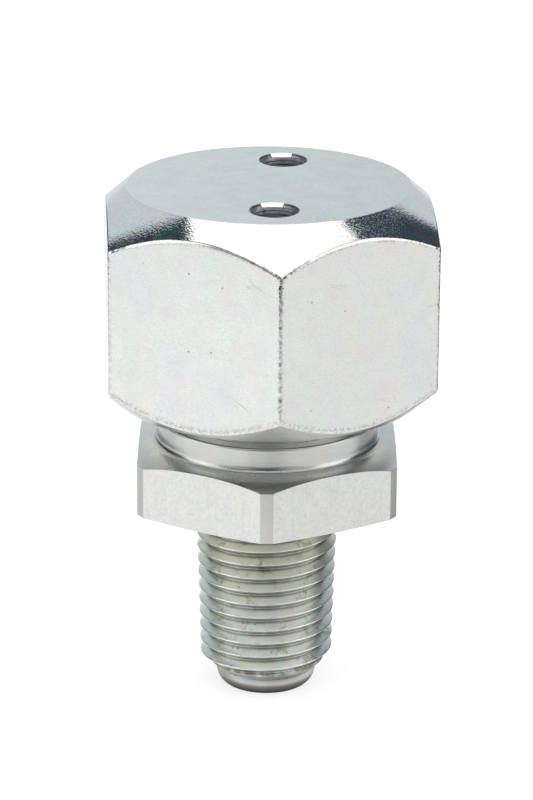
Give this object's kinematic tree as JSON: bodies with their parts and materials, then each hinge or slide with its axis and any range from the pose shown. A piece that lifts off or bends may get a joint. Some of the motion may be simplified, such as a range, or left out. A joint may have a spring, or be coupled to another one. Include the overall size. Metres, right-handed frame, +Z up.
{
  "type": "vent cap",
  "caption": "Zinc plated steel vent cap: hexagon stud with a taper thread and a large hexagon cap with vent holes in its flat top, filter disc inside.",
  "frame": {"origin": "on the axis of the fitting, at the bottom face of the nose", "axes": "+Z up along the axis, from the nose to the cap; -Y is the side the picture was taken from, towards a corner of the stud hexagon"},
  "size_m": [0.031, 0.0346, 0.049],
  "materials": {
    "zinc_stud": "bright zinc plate over turned steel",
    "zinc_cap": "bright zinc plate over drawn hexagon bar, turned on top",
    "sintered_bronze": "open grained sintered bronze",
    "nitrile": "matt black",
    "spring_steel": "dark oiled spring steel"
  },
  "bodies": {
    "stud": {"stud_body": "zinc_stud"},
    "filter_pack": {"filter_disc": "sintered_bronze", "filter_gasket": "nitrile"},
    "cap": {"hex_cap": "zinc_cap", "retaining_ring": "spring_steel"}
  },
  "joints": [
    {"name": "cap_lift", "type": "slide", "parent": "stud", "child": "filter_pack", "axis": [0, 0, 1], "range_m": [0, 0.009]},
    {"name": "cap_turn", "type": "hinge", "parent": "filter_pack", "child": "cap", "pos_m": [0, 0, 0.0402], "axis": [0, 0, 1], "range_deg": [0, 2160]}
  ],
  "couplings": [
    {"joint": "cap_lift", "follows": "cap_turn", "m_per_rad": 0.00023873}
  ]
}
